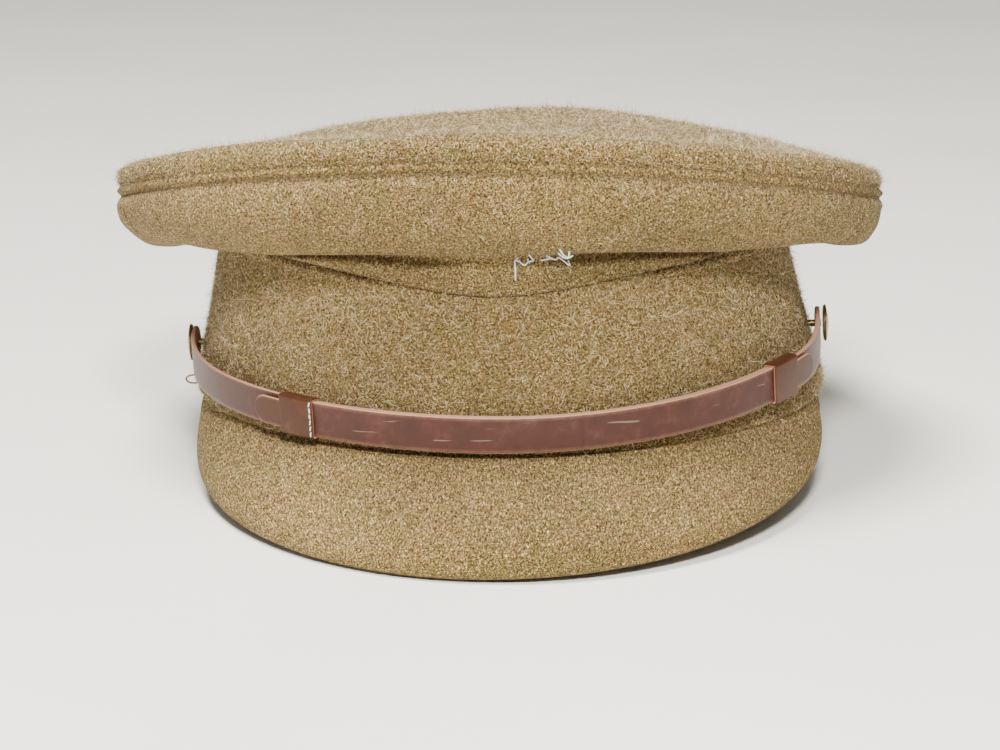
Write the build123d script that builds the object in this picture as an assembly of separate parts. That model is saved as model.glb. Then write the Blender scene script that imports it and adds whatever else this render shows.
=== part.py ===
from build123d import *
from math import atan2, cos, degrees, exp, hypot, pi, radians, sin
import os

# A soft military peaked cap. Millimetres. The origin is the middle of the head opening, in the
# plane of the band's lower edge. +Z goes up, the front of the cap faces -Y, +X is the wearer's left.
# Angles go round the cap from +X: 90 is the back, 180 the -X side, 270 the front.

# band: an upright ring that narrows as it rises
band_half_width = 97.5      # outside, at the lower edge
band_half_length = 101.0
band_height = 50.0          # at the sides and back
band_front_dip = 6.2        # the top seam drops this much at the front
band_dip_half_width = 42.0
band_taper = 0.23           # mm inwards for each mm up
cap_lean = 0.05             # the soft cap leans to -X by this much for each mm up
cloth = 2.0                 # wool cloth
stiffener = 1.2
leather = 1.0               # sweatband
sweatband_height = 38.0
sweatband_space = 2.6       # room behind the sweatband for the button pins
ply_gap = 0.1               # between plies that lie on each other
seam_gap = 0.05             # between pieces that are sewn edge to edge
joint_angle = 0.05          # half the opening where a strip meets itself at the back, degrees

# crown
rim_side = 20.0             # how far the rim stands out past the foot of the band
rim_front = 11.0
rim_back = 33.0
rim_rise = 8.0              # the rim above the top of the band, at the sides
rim_tilt = 17.5             # up at the front and down at the back
rim_saddle = 8.5            # front and back lifted above the sides
welt = 2.8                  # diameter of the raised seam round the rim
panel_drop = 0.8            # the side panels start this far below the welt
top_roll = 3.6              # the top cloth rolls up over the rim by this much
top_roll_width = 3.0
top_dome = 20.0             # rise of the soft top's middle above its rim
front_seam_angle = 75.0     # the front panel reaches this far to each side
back_seam_angle = 50.0
wire = 1.6                  # hoop wire
wire_inset = 5.0            # from the rim, inwards and down
ferrule_length = 24.0
ferrule_wall = 0.5
stay_width = 14.0
stay_thickness = 0.6
stay_inset = 8.5            # the stay's top end, in from the rim
lining = 0.6
lining_inset = 12.0         # top of the side lining, in from the rim
lining_drop = 7.0           # and below it
lining_lap = 0.6            # the top lining is sewn this far above the side lining
lining_foot = 30.0          # the lining's lower edge is held behind the sweatband
shoulder_rise = 3.0         # the lining turns outwards this far above the band seam

# peak
peak_narrowing = 2.5        # the peak is narrower than the band by this much on each side
peak_depth = 44.5           # the front of the edge, forward of the band
peak_corner = 20.0          # the corners, forward of the head's axis
peak_drop = 17.4            # the edge below the band, at the front
peak_corner_drop = 3.0
peak_tilt = 0.02            # the edge rides up towards +X by this much for each mm
peak_root_angle = 78.0      # the root runs this far round from the front
peak_tuck = 3.5             # the root lies this far in from the band's face
peak_crown = 2.0            # how far the peak bulges up between root and edge
peak_board = 2.0
peak_lining = 1.0

# chin strap, keepers
strap_width = 10.3
strap_ply = 1.2
strap_rest = 1.75           # the strap's lower edge at the front, above the foot of the band
strap_rise = 7.0            # the strap climbs this much to the buttons
strap_skew = 3.5            # and higher at +X, lower at -X
strap_off = 1.0             # the inner strap stands this far off the foot of the band
keeper_ply = 0.7
keeper_length = 12.0
keeper_right_angle = 235.0   # middle of each keeper
keeper_left_angle = 325.0
tab_length = 9.0
tab_width = 8.4
stitch = 0.5
stitch_count = 5

# buttons
button_diameter = 11.5
button_dome = 2.0
button_back = 0.5
button_gap = 0.5            # between the strap's end and the button's back
shank_diameter = 2.2
shank_fit = 0.05            # clearance round the shank, each side
strap_hole = 3.6
lug_extra = 0.02
pin_diameter = 0.8
pin_length = 6.0
pin_room = 0.4              # between the shank's end and the sweatband

# small things on the cap
loop_wire = 0.6
loop_out = 4.6
loop_height = 2.2
loop_drop = 0.5             # clear below the band
thread = 0.5


def foot(angle):
    """Point on the band's lower outside edge, and the level direction out of the cap there."""
    t = radians(angle)
    out = Vector(cos(t) / band_half_width, sin(t) / band_half_length, 0).normalized()
    return Vector(band_half_width * cos(t), band_half_length * sin(t), 0), out


def at(angle, off, z):
    """Point in the upright section at this angle: off mm out from the band's foot, z up."""
    base, out = foot(angle)
    p = base + out * off
    return Vector(p.X - cap_lean * z, p.Y, z)


def band_top(angle):
    x = band_half_width * cos(radians(angle))
    dip = exp(-(x / band_dip_half_width) ** 2) if sin(radians(angle)) < 0 else 0
    return band_height - band_front_dip * dip


def share(angle):
    """How far an angle is towards the front and towards the back, 0 at the sides to 1."""
    s = sin(radians(angle))
    return max(0, -s), max(0, s)


def blend(angle, side, front, back, power=1.0):
    f, b = share(angle)
    return side + (front - side) * f ** power + (back - side) * b ** power


def rim_off(angle):
    return blend(angle, rim_side, rim_front, rim_back)


def rim_z(angle):
    f, b = share(angle)
    return band_height + rim_rise + rim_tilt * (f - b) + rim_saddle * (f ** 1.3 + b ** 2)


def loft_strip(section, angles):
    """Closed solid through one section for each angle. section(angle) gives its wire."""
    return Solid.make_loft([section(a) for a in angles])


def steps(start, end, count):
    return [start + (end - start) * i / count for i in range(count + 1)]


def quad(angle, off_in, off_out, low, high, taper=0.0):
    """Four-sided section: between two offsets and two heights, leaning in by the taper."""
    corners = [(off_in - taper * low, low), (off_out - taper * low, low),
               (off_out - taper * high, high), (off_in - taper * high, high)]
    return Wire.make_polygon([at(angle, o, z) for o, z in corners], close=True)


def ring(off_in, off_out, low, high):
    """Strip once round the cap inside the band, closed by a seam at the back."""
    def section(angle):
        return quad(angle, off_in, off_out, low(angle), high(angle), band_taper)
    return loft_strip(section, steps(90 + joint_angle, 450 - joint_angle, 36))


# ---- crown ----

def side_profile(angle):
    """Points down one crown side panel, (off, z): out over the lobe and in to the band seam."""
    rim = (rim_off(angle), rim_z(angle) - welt / 2 - panel_drop)
    seam_z = band_top(angle) + seam_gap
    seam = (-band_taper * seam_z, seam_z)
    upper = (rim[0] + blend(angle, 4, 9, 5), rim[1] - blend(angle, 13, 16, 17))
    lower = (seam[0] + blend(angle, 18, 3, 12), seam[1] + blend(angle, -17, 14, -14, 0.8))
    points = []
    for t in steps(0, 1, 10):
        k = ((1 - t) ** 3, 3 * t * (1 - t) ** 2, 3 * t * t * (1 - t), t ** 3)
        points.append(tuple(sum(w * p[i] for w, p in zip(k, (rim, upper, lower, seam)))
                            for i in (0, 1)))
    return points


def inner_line(points, depth):
    """The same profile moved into the cap by the cloth's thickness, square to itself."""
    moved = []
    for i, (off, z) in enumerate(points):
        before, after = points[max(i - 1, 0)], points[min(i + 1, len(points) - 1)]
        d_off, d_z = after[0] - before[0], after[1] - before[1]
        length = hypot(d_off, d_z)
        moved.append((off + d_z / length * depth, z - d_off / length * depth))
    return moved


def side_section(angle):
    outer = side_profile(angle)
    inner = inner_line(outer, cloth)
    out_pts = [at(angle, o, z) for o, z in outer]
    in_pts = [at(angle, o, z) for o, z in reversed(inner)]
    return Wire([Edge.make_spline(out_pts), Edge.make_line(out_pts[-1], in_pts[0]),
                 Edge.make_spline(in_pts), Edge.make_line(in_pts[-1], out_pts[0])])


def crown_panel(start, end):
    gap = degrees(seam_gap / band_half_width)
    return loft_strip(side_section, steps(start + gap, end - gap, max(6, int((end - start) / 9))))


def top_point(angle, u, drop, inset):
    """Point on the crown top: u runs from -1 to 1 across, between the rim points at angle."""
    edge = at(angle, rim_off(angle) - inset, rim_z(angle))
    middle = at(90, 0, rim_z(angle)).X
    s = sin(radians(angle))
    rho = (s * s + (1 - s * s) * u * u) ** 0.5
    roll = top_roll * (1 - exp(-(1 - rho) * band_half_width / top_roll_width))
    z = edge.Z + roll + top_dome * (1 - rho * rho) ** 1.5 - drop
    return Vector(middle + (edge.X - middle) * u, edge.Y, z)


def disc(drop, thickness, inset, end_angle=86.0):
    """Crown top, or the lining under it, through sections that run from side to side."""
    across = (-1, -0.97, -0.9, -0.7, -0.35, 0, 0.35, 0.7, 0.9, 0.97, 1)
    sections = []
    for i in range(31):
        angle = -end_angle + 2 * end_angle * i / 30
        upper = [top_point(angle, u, drop, inset) for u in across]
        lower = [top_point(angle, u, drop + thickness, inset) for u in reversed(across)]
        sections.append(Wire([Edge.make_spline(upper), Edge.make_line(upper[-1], lower[0]),
                              Edge.make_spline(lower), Edge.make_line(lower[-1], upper[0])]))
    return Solid.make_loft(sections)


def rim_rod(diameter, inset, drop, start, end):
    """Round rod along the rim, set in and down from it."""
    pts = [at(a, rim_off(a) - inset, rim_z(a) - drop) for a in steps(start, end, 48)]
    path = Edge.make_spline(pts)
    plane = Plane(origin=pts[0], z_dir=path % 0)
    return sweep(plane * Circle(diameter / 2), path=path)


def hoop_ferrule():
    """Tube over the two ends of the hoop wire, at the back."""
    half = degrees(ferrule_length / 2 / (band_half_length + rim_back))
    ends = (90 - half, 90 + half)
    bore = rim_rod(wire + 2 * ply_gap, wire_inset, wire_inset, *ends)
    return rim_rod(wire + 2 * ply_gap + 2 * ferrule_wall, wire_inset, wire_inset, *ends) - bore


def bent_section(angle, profile, depth):
    outer = [at(angle, o, z) for o, z in profile]
    inner = [at(angle, o, z) for o, z in reversed(inner_line(profile, depth))]
    return Wire.make_polygon(outer + inner, close=True)


def behind_stiffener(z):
    return -band_taper * z - cloth - ply_gap - stiffener - ply_gap


def lining_profile(angle):
    shoulder = band_top(angle) + shoulder_rise
    top = (rim_off(angle) - lining_inset, rim_z(angle) - lining_drop)
    return [top, (behind_stiffener(shoulder), shoulder),
            (behind_stiffener(lining_foot), lining_foot)]


def stay_profile(angle):
    foot_z = band_top(angle) + 1
    foot_off = -band_taper * foot_z - cloth - ply_gap
    top = (rim_off(angle) - stay_inset, rim_z(angle) - wire_inset - wire)
    middle = ((foot_off + top[0]) / 2 - 1, (foot_z + top[1]) / 2)
    return [top, middle, (foot_off, foot_z)]


def front_stay():
    half = degrees(stay_width / 2 / band_half_length)

    def section(angle):
        return bent_section(angle, stay_profile(angle), stay_thickness)
    return loft_strip(section, steps(270 - half, 270 + half, 4))


def side_lining():
    def section(angle):
        return bent_section(angle, lining_profile(angle), lining)
    return loft_strip(section, steps(90 + joint_angle, 450 - joint_angle, 36))


# ---- peak ----

def peak_point(turn, t, drop):
    """turn goes from -90 to 90 round the peak, t from the root at 0 to the edge at 1."""
    root = at(270 + turn * peak_root_angle / 90, -peak_tuck, 0)
    c = max(0, cos(radians(turn)))
    x = (band_half_width - peak_narrowing) * sin(radians(turn))
    edge_z = peak_tilt * x - peak_corner_drop - (peak_drop - peak_corner_drop) * c ** 0.45
    edge = Vector(x - cap_lean * edge_z,
                  -peak_corner - (band_half_length + peak_depth - peak_corner) * c, edge_z)
    p = root + (edge - root) * t
    return Vector(p.X, p.Y, p.Z + peak_crown * 4 * t * (1 - t) * c - seam_gap - drop)


def peak_ply(drop, thickness, set_back=0.0):
    """One ply of the peak; set_back keeps its edge short of the cloth that wraps it."""
    across = steps(0, 1, 4)
    sections = []
    for i in range(37):
        turn = -90 + 5 * i
        reach = 1 - set_back / (peak_depth + peak_tuck)
        upper = [peak_point(turn, t * reach, drop) for t in across]
        lower = [peak_point(turn, t * reach, drop + thickness) for t in reversed(across)]
        sections.append(Wire([Edge.make_spline(upper), Edge.make_line(upper[-1], lower[0]),
                              Edge.make_spline(lower), Edge.make_line(lower[-1], upper[0])]))
    return Solid.make_loft(sections)


# ---- chin strap ----

def strap_mid(angle):
    """Height of the strap's middle line."""
    f = share(angle)[0]
    c = cos(radians(angle))
    return strap_rest + strap_width / 2 + strap_rise * (1 - f ** 1.5) + strap_skew * c * abs(c)


def end_off(angle):
    """Offset of a strap end that hangs upright beside the button, clear of the band below it."""
    swing_room = 2.4
    return -band_taper * (strap_mid(angle) - strap_width / 2 - swing_room) + 0.4


def ease(value):
    v = min(1, max(0, value))
    return v * v * (3 - 2 * v)


def inner_off(angle):
    k = ease((angle - 185) / 30)
    return end_off(180) * (1 - k) + strap_off * k


def outer_off(angle):
    k = ease((355 - angle) / 25)
    return end_off(360) * (1 - k) + (strap_off + strap_ply + ply_gap) * k


def strap_section(angle, off, width=strap_width, thickness=strap_ply):
    mid = strap_mid(angle)
    return quad(angle, off, off + thickness, mid - width / 2, mid + width / 2)


def button_frame(side):
    """Plane at a button's place on the band's foot line. Its normal looks out along the shank,
    and both shanks lie on the one line through the two buttons."""
    here, there = [at(a, 0, strap_mid(a)) for a in ((360, 180) if side > 0 else (180, 360))]
    return Plane(origin=here, x_dir=(0, -side, 0), z_dir=(here - there).normalized())


def strap_end(side, off):
    """Round end of a strap, a hair thicker than the strap so that their faces stay apart."""
    frame = button_frame(side).offset(off - lug_extra)
    return extrude(frame * Circle(strap_width / 2), amount=strap_ply + 2 * lug_extra)


def strap_hole_cut(side):
    return extrude(button_frame(side).offset(-8) * Circle(strap_hole / 2), amount=20)


def strap_outer():
    start = keeper_right_angle - degrees(keeper_length / 4 / band_half_length)
    strip = loft_strip(lambda a: strap_section(a, outer_off(a)), steps(start, 360, 30))
    return strip + strap_end(1, outer_off(360)) - strap_hole_cut(1)


def strap_inner():
    end = keeper_left_angle + degrees(keeper_length / 4 / band_half_length)
    strip = loft_strip(lambda a: strap_section(a, inner_off(a)), steps(180, end, 30))
    return strip + strap_end(-1, inner_off(180)) - strap_hole_cut(-1)


def keeper(middle, outboard):
    """Leather loop round both straps with a rounded tab that points to the strap's end."""
    half = degrees(keeper_length / 2 / band_half_length)
    off_in = strap_off - ply_gap
    off_out = strap_off + 2 * strap_ply + 2 * ply_gap
    room = strap_width / 2 + ply_gap
    span = steps(middle - half, middle + half, 6)

    def body(angle):
        mid = strap_mid(angle)
        return quad(angle, off_in - keeper_ply, off_out + keeper_ply,
                    mid - room - keeper_ply, mid + room + keeper_ply)

    def bore(angle):
        mid = strap_mid(angle)
        return quad(angle, off_in, off_out, mid - room, mid + room)

    longer = steps(middle - half * 1.2, middle + half * 1.2, 6)
    loop = loft_strip(body, span) - loft_strip(bore, longer)
    near = middle + outboard * half * 0.9
    far = middle + outboard * (half + degrees(tab_length / band_half_length))
    rounding = (1, 1, 0.98, 0.9, 0.7, 0.35)
    tab = Solid.make_loft([strap_section(a, off_out, tab_width * r, keeper_ply)
                           for a, r in zip(steps(near, far, 5), rounding)])
    return loop + tab


def keeper_stitches():
    """White stitches down the inboard edge of the right keeper."""
    angle = keeper_right_angle + degrees((keeper_length / 2 - 1) / band_half_length)
    pitch = strap_width / stitch_count
    off = strap_off + 2 * strap_ply + 2 * ply_gap + keeper_ply
    half_turn = degrees(stitch / 2 / band_half_length)
    parts = []
    for i in range(stitch_count):
        z = strap_mid(angle) + pitch * (i - (stitch_count - 1) / 2)
        parts.append(loft_strip(lambda a: quad(a, off, off + stitch, z - pitch / 3, z + pitch / 3),
                                (angle - half_turn, angle + half_turn)))
    return Compound(parts)


# ---- buttons ----

def button_face_off(side):
    return end_off(180 if side < 0 else 360) + strap_ply + button_gap


def button_shell(side):
    """Domed front of the button, a shell turned about the shank's axis."""
    frame = button_frame(side).offset(button_face_off(side) + button_back)
    radius = button_diameter / 2
    ball = (radius ** 2 + button_dome ** 2) / (2 * button_dome)
    cap = Solid.make_sphere(ball, frame.offset(button_dome - ball))
    return cap & extrude(frame * Circle(radius), amount=button_dome + 1)


def button_back_plate(side):
    frame = button_frame(side).offset(button_face_off(side))
    return extrude(frame * Circle(button_diameter / 2), amount=button_back - ply_gap / 4)


def pin_depth(side):
    """From the foot line in to the middle of the room behind the stiffener."""
    z = button_frame(side).origin.Z
    return band_taper * z + cloth + ply_gap + stiffener + sweatband_space / 2


def shank_length(side):
    return button_face_off(side) + pin_depth(side) + sweatband_space / 2 - pin_room


def button_shank(side):
    length = shank_length(side)
    frame = button_frame(side).offset(button_face_off(side) - length)
    rod = extrude(frame * Circle(shank_diameter / 2), amount=length - ply_gap / 4)
    return rod - split_pin(side, shank_fit)


def split_pin(side, clearance=0.0):
    """Pin through the shank, behind the stiffener, that keeps the button on the band."""
    centre = button_frame(side).offset(-pin_depth(side)).origin
    frame = Plane(origin=centre - Vector(0, pin_length / 2, 0), z_dir=(0, 1, 0))
    return extrude(frame * Circle(pin_diameter / 2 + clearance), amount=pin_length)


def shank_holes(solid):
    """Cut both shanks' running holes through one of the band's plies."""
    for side in (-1, 1):
        frame = button_frame(side).offset(-20)
        solid = solid - extrude(frame * Circle(shank_diameter / 2 + shank_fit), amount=30)
    return solid


# ---- small things ----

def wire_loop():
    """Bent wire that sticks out of the band's lower edge below the -X button."""
    z = -loop_wire / 2 - loop_drop
    reach = loop_out - loop_height / 2
    half = degrees(loop_height / 2 / band_half_length)
    pts = [at(180 - half, 0, z), at(180 - half, reach, z - 1), at(180, loop_out, z - 1.2),
           at(180 + half, reach, z - 1.4), at(180 + half, 0, z - 0.8)]
    path = Edge.make_spline(pts)
    return sweep(Plane(origin=pts[0], z_dir=path % 0) * Circle(loop_wire / 2), path=path)


def thread_ends():
    """Cut ends of the thread that held the badge, in front of the lower crown."""
    parts = []
    places = ((1.8, 9.2, 1.0, 6.0), (12.0, 9.7, 1.0, 5.0), (16.5, 10.3, -1.0, 4.0))
    for x, above_seam, slant, length in places:
        angle = 270 + degrees(x / band_half_length)
        z = band_top(angle) + above_seam
        off = blend(angle, 0, 3.2, 0)
        pts = [at(angle, off, z), at(angle, off + 1.5, z + length / 3),
               at(angle + slant, off + 2.5, z + length)]
        path = Edge.make_spline(pts)
        parts.append(sweep(Plane(origin=pts[0], z_dir=path % 0) * Circle(thread / 2), path=path))
    return Compound([solid for part in parts for solid in part.solids()])


def stiffener_top(angle):
    return band_top(angle) - 1


def cap_nodes():
    quarter = {
        "front": (270 - front_seam_angle, 270 + front_seam_angle),
        "right": (90 + back_seam_angle, 270 - front_seam_angle),
        "left": (270 + front_seam_angle, 450 - back_seam_angle),
        "back": (90 - back_seam_angle, 90 + back_seam_angle)}
    nodes = {f"crown_side_{name}": crown_panel(*span) for name, span in quarter.items()}
    top_inset = welt / 2 + seam_gap
    nodes["crown_top"] = disc(0, cloth, top_inset)
    nodes["crown_welt"] = rim_rod(welt, 0, 0, 90 + joint_angle * 4, 450 - joint_angle * 4)
    nodes["crown_hoop_wire"] = rim_rod(wire, wire_inset, wire_inset, 90.5, 449.5)
    nodes["hoop_ferrule"] = hoop_ferrule()
    nodes["front_stay"] = front_stay()
    nodes["crown_lining_top"] = disc(lining_drop - 2 * lining - lining_lap, lining, lining_inset)
    nodes["crown_lining_side"] = side_lining()
    outer = -cloth - ply_gap
    nodes["band_cloth"] = shank_holes(ring(-cloth, 0, lambda a: 0, band_top))
    nodes["band_stiffener"] = shank_holes(ring(outer - stiffener, outer, lambda a: 0.5, stiffener_top))
    inner = outer - stiffener - sweatband_space
    nodes["sweatband"] = ring(inner - leather, inner, lambda a: 0.2, lambda a: sweatband_height)
    nodes["peak_top_cloth"] = peak_ply(0, cloth)
    nodes["peak_board"] = peak_ply(cloth + ply_gap, peak_board, cloth)
    nodes["peak_under_cloth"] = peak_ply(cloth + peak_board + 2 * ply_gap, peak_lining)
    nodes["badge_thread_ends"] = thread_ends()
    nodes["wire_loop"] = wire_loop()
    return nodes


def strap_nodes():
    return {
        "strap_outer": strap_outer(),
        "strap_inner": strap_inner(),
        "keeper_right": keeper(keeper_right_angle, -1),
        "keeper_left": keeper(keeper_left_angle, 1),
        "keeper_right_stitches": keeper_stitches()}


def button_nodes():
    nodes = {}
    for name, side in (("right", -1), ("left", 1)):
        nodes[f"button_{name}_shell"] = button_shell(side)
        nodes[f"button_{name}_back"] = button_back_plate(side)
        nodes[f"button_{name}_shank"] = button_shank(side)
        nodes[f"button_{name}_split_pin"] = split_pin(side)
    return nodes


def main():
    os.makedirs("parts", exist_ok=True)
    for name, solid in {**cap_nodes(), **strap_nodes(), **button_nodes()}.items():
        export_step(solid, f"parts/{name}.step")
        print(name, round(solid.volume, 1))
    for side in (-1, 1):
        origin = button_frame(side).origin
        print("button centre", [round(v, 3) for v in (origin.X, origin.Y, origin.Z)])


main()
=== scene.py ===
import math
import bmesh
import bpy
import numpy as np
from mathutils import Matrix, Vector


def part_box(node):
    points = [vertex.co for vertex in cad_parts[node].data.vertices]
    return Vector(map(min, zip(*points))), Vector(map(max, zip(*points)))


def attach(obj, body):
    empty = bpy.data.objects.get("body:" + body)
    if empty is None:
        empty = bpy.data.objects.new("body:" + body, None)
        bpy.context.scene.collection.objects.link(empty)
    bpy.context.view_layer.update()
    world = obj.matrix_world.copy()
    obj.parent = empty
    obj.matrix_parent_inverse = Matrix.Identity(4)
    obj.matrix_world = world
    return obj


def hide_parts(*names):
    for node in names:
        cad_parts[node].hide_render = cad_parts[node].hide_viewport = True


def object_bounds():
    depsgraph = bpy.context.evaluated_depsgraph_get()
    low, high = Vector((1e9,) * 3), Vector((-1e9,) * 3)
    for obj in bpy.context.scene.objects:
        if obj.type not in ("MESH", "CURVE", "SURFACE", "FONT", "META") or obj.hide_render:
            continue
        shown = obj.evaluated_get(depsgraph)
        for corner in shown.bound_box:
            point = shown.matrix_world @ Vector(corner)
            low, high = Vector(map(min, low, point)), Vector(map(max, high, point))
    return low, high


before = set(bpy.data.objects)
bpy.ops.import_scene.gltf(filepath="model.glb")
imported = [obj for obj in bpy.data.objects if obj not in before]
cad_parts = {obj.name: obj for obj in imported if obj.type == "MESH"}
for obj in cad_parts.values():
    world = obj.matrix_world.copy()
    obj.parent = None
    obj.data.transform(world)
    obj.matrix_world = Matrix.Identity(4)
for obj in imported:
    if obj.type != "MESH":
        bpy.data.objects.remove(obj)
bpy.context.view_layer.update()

mm = 0.001
rng = np.random.default_rng(7)


bandLow, bandHigh = [np.array(c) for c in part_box("band_cloth")]
cap = {
    "halfWidth": (bandHigh[0] - bandLow[0]) / 2,    # band at its foot
    "halfLength": (bandHigh[1] - bandLow[1]) / 2,
    "height": bandHigh[2],
    "dip": 6.2 * mm, "dipWidth": 42 * mm,            # the seam drops at the front
    "taper": 0.23, "lean": 0.05,
    "rimSide": 20 * mm, "rimFront": 11 * mm, "rimBack": 33 * mm,
    "rimZ": 58 * mm, "rimTilt": 17.5 * mm, "rimSaddle": 8.5 * mm,
    "cloth": 2 * mm,
}
front, back = -math.pi / 2, math.pi / 2      # angles round the band


def wobble(a, b, seed, size):
    # sum of seven sine waves with seeded directions and phases, times size
    r = np.random.default_rng(seed)
    total = np.zeros(np.broadcast(a, b).shape)
    for k in range(7):
        fa, fb, ph = r.integers(1, 6), r.uniform(0.5, 4), r.uniform(0, 6.28)
        total = total + np.sin(fa * a + fb * b + ph) / (1 + 0.35 * k)
    return size * total / 2.4


def bell(x, width):
    # 1 where x is 0, falling away evenly on both sides
    return np.exp(-(x / width) ** 2)


def ease(x):
    # 0 to 1 with a soft start and a soft end
    x = np.clip(x, 0, 1)
    return x * x * (3 - 2 * x)


def place(t, off, z):
    # point in the upright section at angle t: off out from the band's foot, z up, leaning with height
    nx, ny = np.cos(t) / cap["halfWidth"], np.sin(t) / cap["halfLength"]
    length = np.hypot(nx, ny)
    x = cap["halfWidth"] * np.cos(t) + nx / length * off - cap["lean"] * z
    y = cap["halfLength"] * np.sin(t) + ny / length * off
    return np.stack(np.broadcast_arrays(x, y, z), -1)


def bandTop(t):
    # band height less a bell-shaped dip at the front
    x = cap["halfWidth"] * np.cos(t)
    return cap["height"] - np.where(np.sin(t) < 0, cap["dip"] * bell(x, cap["dipWidth"]), 0)


def shares(t):
    # how much an angle belongs to the front and to the back, each 0 to 1
    s = np.sin(t)
    return np.clip(-s, 0, 1), np.clip(s, 0, 1)


def around(t, side, atFront, atBack, power=1.0):
    # a value at the sides that turns into another at the front and another at the back
    f, b = shares(t)
    return side + (atFront - side) * f ** power + (atBack - side) * b ** power


def rimOff(t):
    # the soft crown sits a little towards -X
    return around(t, cap["rimSide"], cap["rimFront"], cap["rimBack"]) - 0.6 * mm * np.cos(t)


def rimZ(t):
    # the rim's height: up at the front and down at the back by the tilt, and both raised by the saddle
    f, b = shares(t)
    return cap["rimZ"] + cap["rimTilt"] * (f - b) + cap["rimSaddle"] * (f ** 1.3 + b ** 2)


def spline(points, count):
    # Catmull-Rom curve through rows of points: shape (k, ..., dims) to (count, ..., dims)
    p = np.concatenate([2 * points[:1] - points[1:2], points, 2 * points[-1:] - points[-2:-1]])
    s = np.linspace(0, len(points) - 1 - 1e-9, count)
    i = s.astype(int)
    u = (s - i).reshape((-1,) + (1,) * (points.ndim - 1))
    a, b, c, d = p[i], p[i + 1], p[i + 2], p[i + 3]
    return 0.5 * (2 * b + (c - a) * u + (2 * a - 5 * b + 4 * c - d) * u ** 2
                  + (3 * b - a - 3 * c + d) * u ** 3)


def normals(grid, wrap=False):
    # cross product of the grid's two directions at each point
    if wrap:
        du = np.roll(grid, -1, 0) - np.roll(grid, 1, 0)
    else:
        du = np.gradient(grid, axis=0)
    dv = np.gradient(grid, axis=1)
    n = np.cross(du, dv)
    return n / np.maximum(np.linalg.norm(n, axis=-1, keepdims=True), 1e-12)


def meshFrom(name, verts, faces, uv=None, smooth=True):
    # a mesh object from points and faces, with the uv of each point where it is given
    mesh = bpy.data.meshes.new(name)
    mesh.from_pydata(verts.reshape(-1, 3).tolist(), [], faces if isinstance(faces, list) else faces.tolist())
    mesh.validate()
    if smooth:
        mesh.polygons.foreach_set("use_smooth", np.ones(len(mesh.polygons), bool))
    if uv is not None:
        layer = mesh.uv_layers.new(name="surface")
        corner = np.zeros(len(mesh.loops), int)
        mesh.loops.foreach_get("vertex_index", corner)
        layer.data.foreach_set("uv", uv.reshape(-1, 2)[corner].astype(np.float32).ravel())
    mesh.update()
    obj = bpy.data.objects.new(name, mesh)
    bpy.context.collection.objects.link(obj)
    return obj


def gridFaces(nu, nv, wrap, start=0, flip=False):
    # one quad between each four neighbours of a grid, and back to the first row where it wraps
    u = np.arange(nu if wrap else nu - 1)[:, None]
    v = np.arange(nv - 1)[None, :]
    a = u * nv + v
    b = (u + 1) % nu * nv + v
    quads = np.stack([a, b, b + 1, a + 1], -1).reshape(-1, 4) + start
    return quads[:, ::-1] if flip else quads


def sheetSolid(name, outer, thick, wrap=False, uv=None):
    # a closed sheet: outer grid, the same grid moved in along its normals, and walls at the borders
    nu, nv = outer.shape[:2]
    n = normals(outer, wrap)
    pole = wrap and np.ptp(outer[:, -1], axis=0).max() < 1e-9
    if pole:
        # all of the last column is one point, which takes the mean direction of the column before it
        mean = n[:, -2].mean(0)
        n[:, -1] = mean / np.linalg.norm(mean)
    inner = outer - n * thick
    count = nu * nv
    parts = [gridFaces(nu, nv, wrap), gridFaces(nu, nv, wrap, count, True)]
    idx = np.arange(count).reshape(nu, nv)
    borders = [idx[:, 0], idx[:, -1][::-1]]
    if wrap:
        borders = [np.append(b, b[0]) for b in borders][:1 if pole else 2]
    else:
        borders += [idx[-1, :], idx[0, :][::-1]]
    for edge in borders:
        parts.append(np.stack([edge[1:], edge[:-1], edge[:-1] + count, edge[1:] + count], -1))
    if uv is None:
        uv = np.stack(np.meshgrid(np.linspace(0, 1, nu), np.linspace(0, 1, nv), indexing="ij"), -1)
    obj = meshFrom(name, np.concatenate([outer.reshape(-1, 3), inner.reshape(-1, 3)]),
                   np.concatenate(parts), np.concatenate([uv.reshape(-1, 2)] * 2))
    return outward(obj)


def outward(obj):
    # turns every face of a closed mesh to point outwards
    bm = bmesh.new()
    bm.from_mesh(obj.data)
    bmesh.ops.remove_doubles(bm, verts=bm.verts, dist=1e-7)
    bmesh.ops.recalc_face_normals(bm, faces=bm.faces)
    bm.to_mesh(obj.data)
    bm.free()
    return obj


def tube(name, path, radius, sides=10):
    # a round section carried along a path, its frame turned with the path, and a low cone at each end
    tangent = np.gradient(path, axis=0)
    tangent /= np.linalg.norm(tangent, axis=1, keepdims=True)
    side = np.cross(tangent, [0.13, 0.21, 0.97])
    side /= np.linalg.norm(side, axis=1, keepdims=True)
    up = np.cross(side, tangent)
    a = np.linspace(0, 2 * np.pi, sides, endpoint=False)
    r = np.broadcast_to(radius, len(path)).astype(float)
    ring = (path[:, None] + r[:, None, None] * (np.cos(a)[None, :, None] * side[:, None]
            + np.sin(a)[None, :, None] * up[:, None]))
    tips = np.stack([path[0] - tangent[0] * r[0] * 0.6, path[-1] + tangent[-1] * r[-1] * 0.6])
    n = len(path)
    here = np.arange(sides) * n
    after = np.roll(here, -1)
    first = np.stack([here, np.full(sides, sides * n), after], -1)
    last = np.stack([here + n - 1, after + n - 1, np.full(sides, sides * n + 1)], -1)
    faces = gridFaces(sides, n, True).tolist() + first.tolist() + last.tolist()
    return outward(meshFrom(name, np.concatenate([ring.transpose(1, 0, 2).reshape(-1, 3), tips]), faces))


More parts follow.
